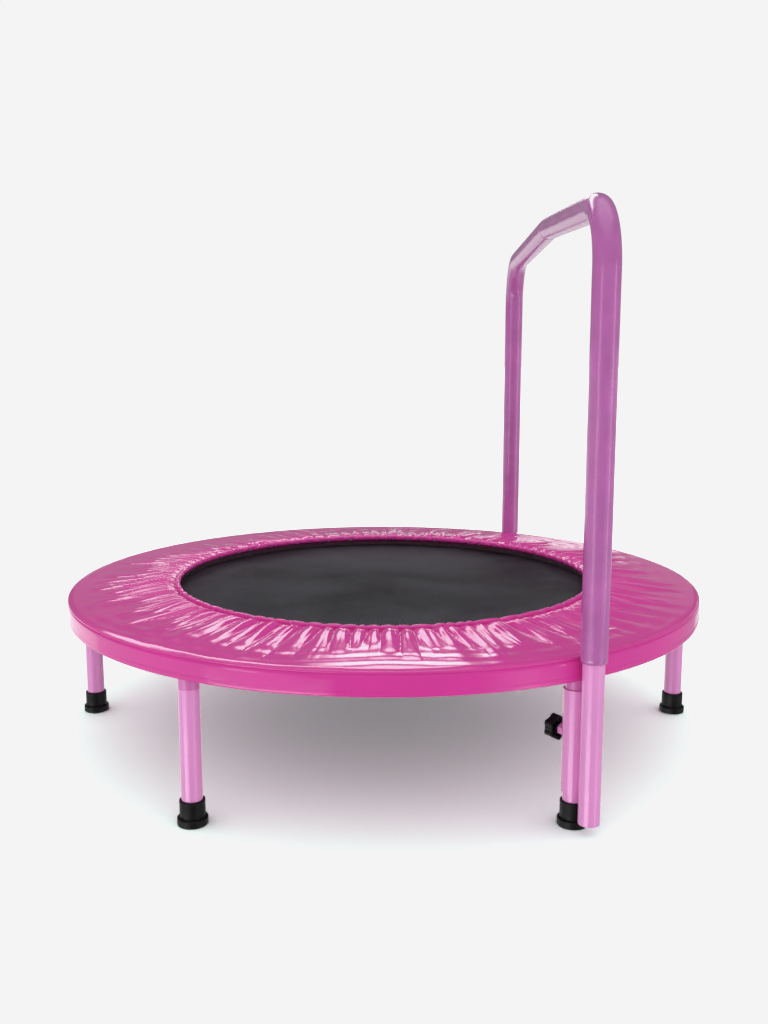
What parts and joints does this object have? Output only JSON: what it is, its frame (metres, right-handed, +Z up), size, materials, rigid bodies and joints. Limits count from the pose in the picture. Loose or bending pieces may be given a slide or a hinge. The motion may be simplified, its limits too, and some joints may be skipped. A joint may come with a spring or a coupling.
{
  "type": "mini trampoline",
  "caption": "Round low trampoline on short tube legs, with a sprung woven mat, a gathered vinyl spring cover and a clamped-on side handle.",
  "frame": {"origin": "on the floor below the centre of the ring", "axes": "+Z up, +X towards the side with the handle, -Y towards the viewer of the handle from its left"},
  "size_m": [0.9266, 0.9188, 0.739],
  "materials": {
    "frame_paint": "gloss powder coat",
    "leg_paint": "gloss powder coat",
    "rubber": "satin",
    "zinc_steel": "zinc plated",
    "spring_steel": "zinc plated",
    "mat_weave": "woven polypropylene",
    "webbing": "woven",
    "cover_vinyl": "glossy vinyl",
    "welt_vinyl": "glossy vinyl",
    "elastic": "knitted",
    "sheath_vinyl": "glossy",
    "knob_plastic": "satin moulded"
  },
  "bodies": {
    "frame": {"frame_ring": "frame_paint", "leg_socket_front_left": "frame_paint", "leg_socket_front_right": "frame_paint", "leg_socket_right": "frame_paint", "leg_socket_back_right": "frame_paint", "leg_socket_back_left": "frame_paint", "leg_socket_left": "frame_paint", "leg_front_left": "leg_paint", "leg_front_right": "leg_paint", "leg_right": "leg_paint", "leg_back_right": "leg_paint", "leg_back_left": "leg_paint", "leg_left": "leg_paint", "foot_cap_front_left": "rubber", "foot_cap_front_right": "rubber", "foot_cap_right": "rubber", "foot_cap_back_right": "rubber", "foot_cap_back_left": "rubber", "foot_cap_left": "rubber", "leg_studs": "zinc_steel", "leg_nuts": "zinc_steel", "socket_nuts": "zinc_steel", "springs": "spring_steel", "cover_top": "cover_vinyl", "cover_skirt": "cover_vinyl", "cover_welt": "welt_vinyl", "cover_hem": "cover_vinyl", "hem_elastic": "elastic"},
    "mat": {"mat": "mat_weave", "mat_webbing": "webbing", "mat_loops": "webbing", "v_rings": "spring_steel"},
    "handle": {"handle_tube_front": "leg_paint", "handle_sheath_front": "sheath_vinyl", "clamp_sleeve_front": "leg_paint", "clamp_weld_front": "leg_paint", "clamp_nut_front": "leg_paint", "handle_tube_rear": "leg_paint", "handle_sheath_rear": "sheath_vinyl", "clamp_sleeve_rear": "leg_paint", "clamp_weld_rear": "leg_paint", "clamp_nut_rear": "leg_paint", "handle_joiner": "zinc_steel"},
    "clamp_screw_front": {"clamp_bolt_front": "zinc_steel"},
    "knob_front": {"knob_front": "knob_plastic"},
    "clamp_screw_rear": {"clamp_bolt_rear": "zinc_steel"},
    "knob_rear": {"knob_rear": "knob_plastic"}
  },
  "joints": [
    {"name": "mat_bounce", "type": "slide", "parent": "frame", "child": "mat", "axis": [0, 0, -1], "range_m": [0, 0.1], "stiffness_N_per_m": 6000, "springref_m": -0.003, "deforming": ["springs"]},
    {"name": "handle_slide", "type": "slide", "parent": "frame", "child": "handle", "axis": [0, 0, 1], "range_m": [-0.003, 0.008]},
    {"name": "clamp_front_travel", "type": "slide", "parent": "handle", "child": "clamp_screw_front", "axis": [-0.5878, 0.809, 0], "range_m": [0, 0.0025]},
    {"name": "knob_front_turn", "type": "hinge", "parent": "clamp_screw_front", "child": "knob_front", "pos_m": [0.20629, -0.35913, 0.1107], "axis": [-0.5878, 0.809, 0], "range_deg": [0, 720]},
    {"name": "clamp_rear_travel", "type": "slide", "parent": "handle", "child": "clamp_screw_rear", "axis": [-0.5878, -0.809, 0], "range_m": [0, 0.0025]},
    {"name": "knob_rear_turn", "type": "hinge", "parent": "clamp_screw_rear", "child": "knob_rear", "pos_m": [0.20629, 0.35913, 0.1107], "axis": [-0.5878, -0.809, 0], "range_deg": [0, 720]}
  ],
  "couplings": [
    {"joint": "knob_front_turn", "follows": "clamp_front_travel", "rad_per_m": 5026.5},
    {"joint": "knob_rear_turn", "follows": "clamp_rear_travel", "rad_per_m": 5026.5}
  ]
}
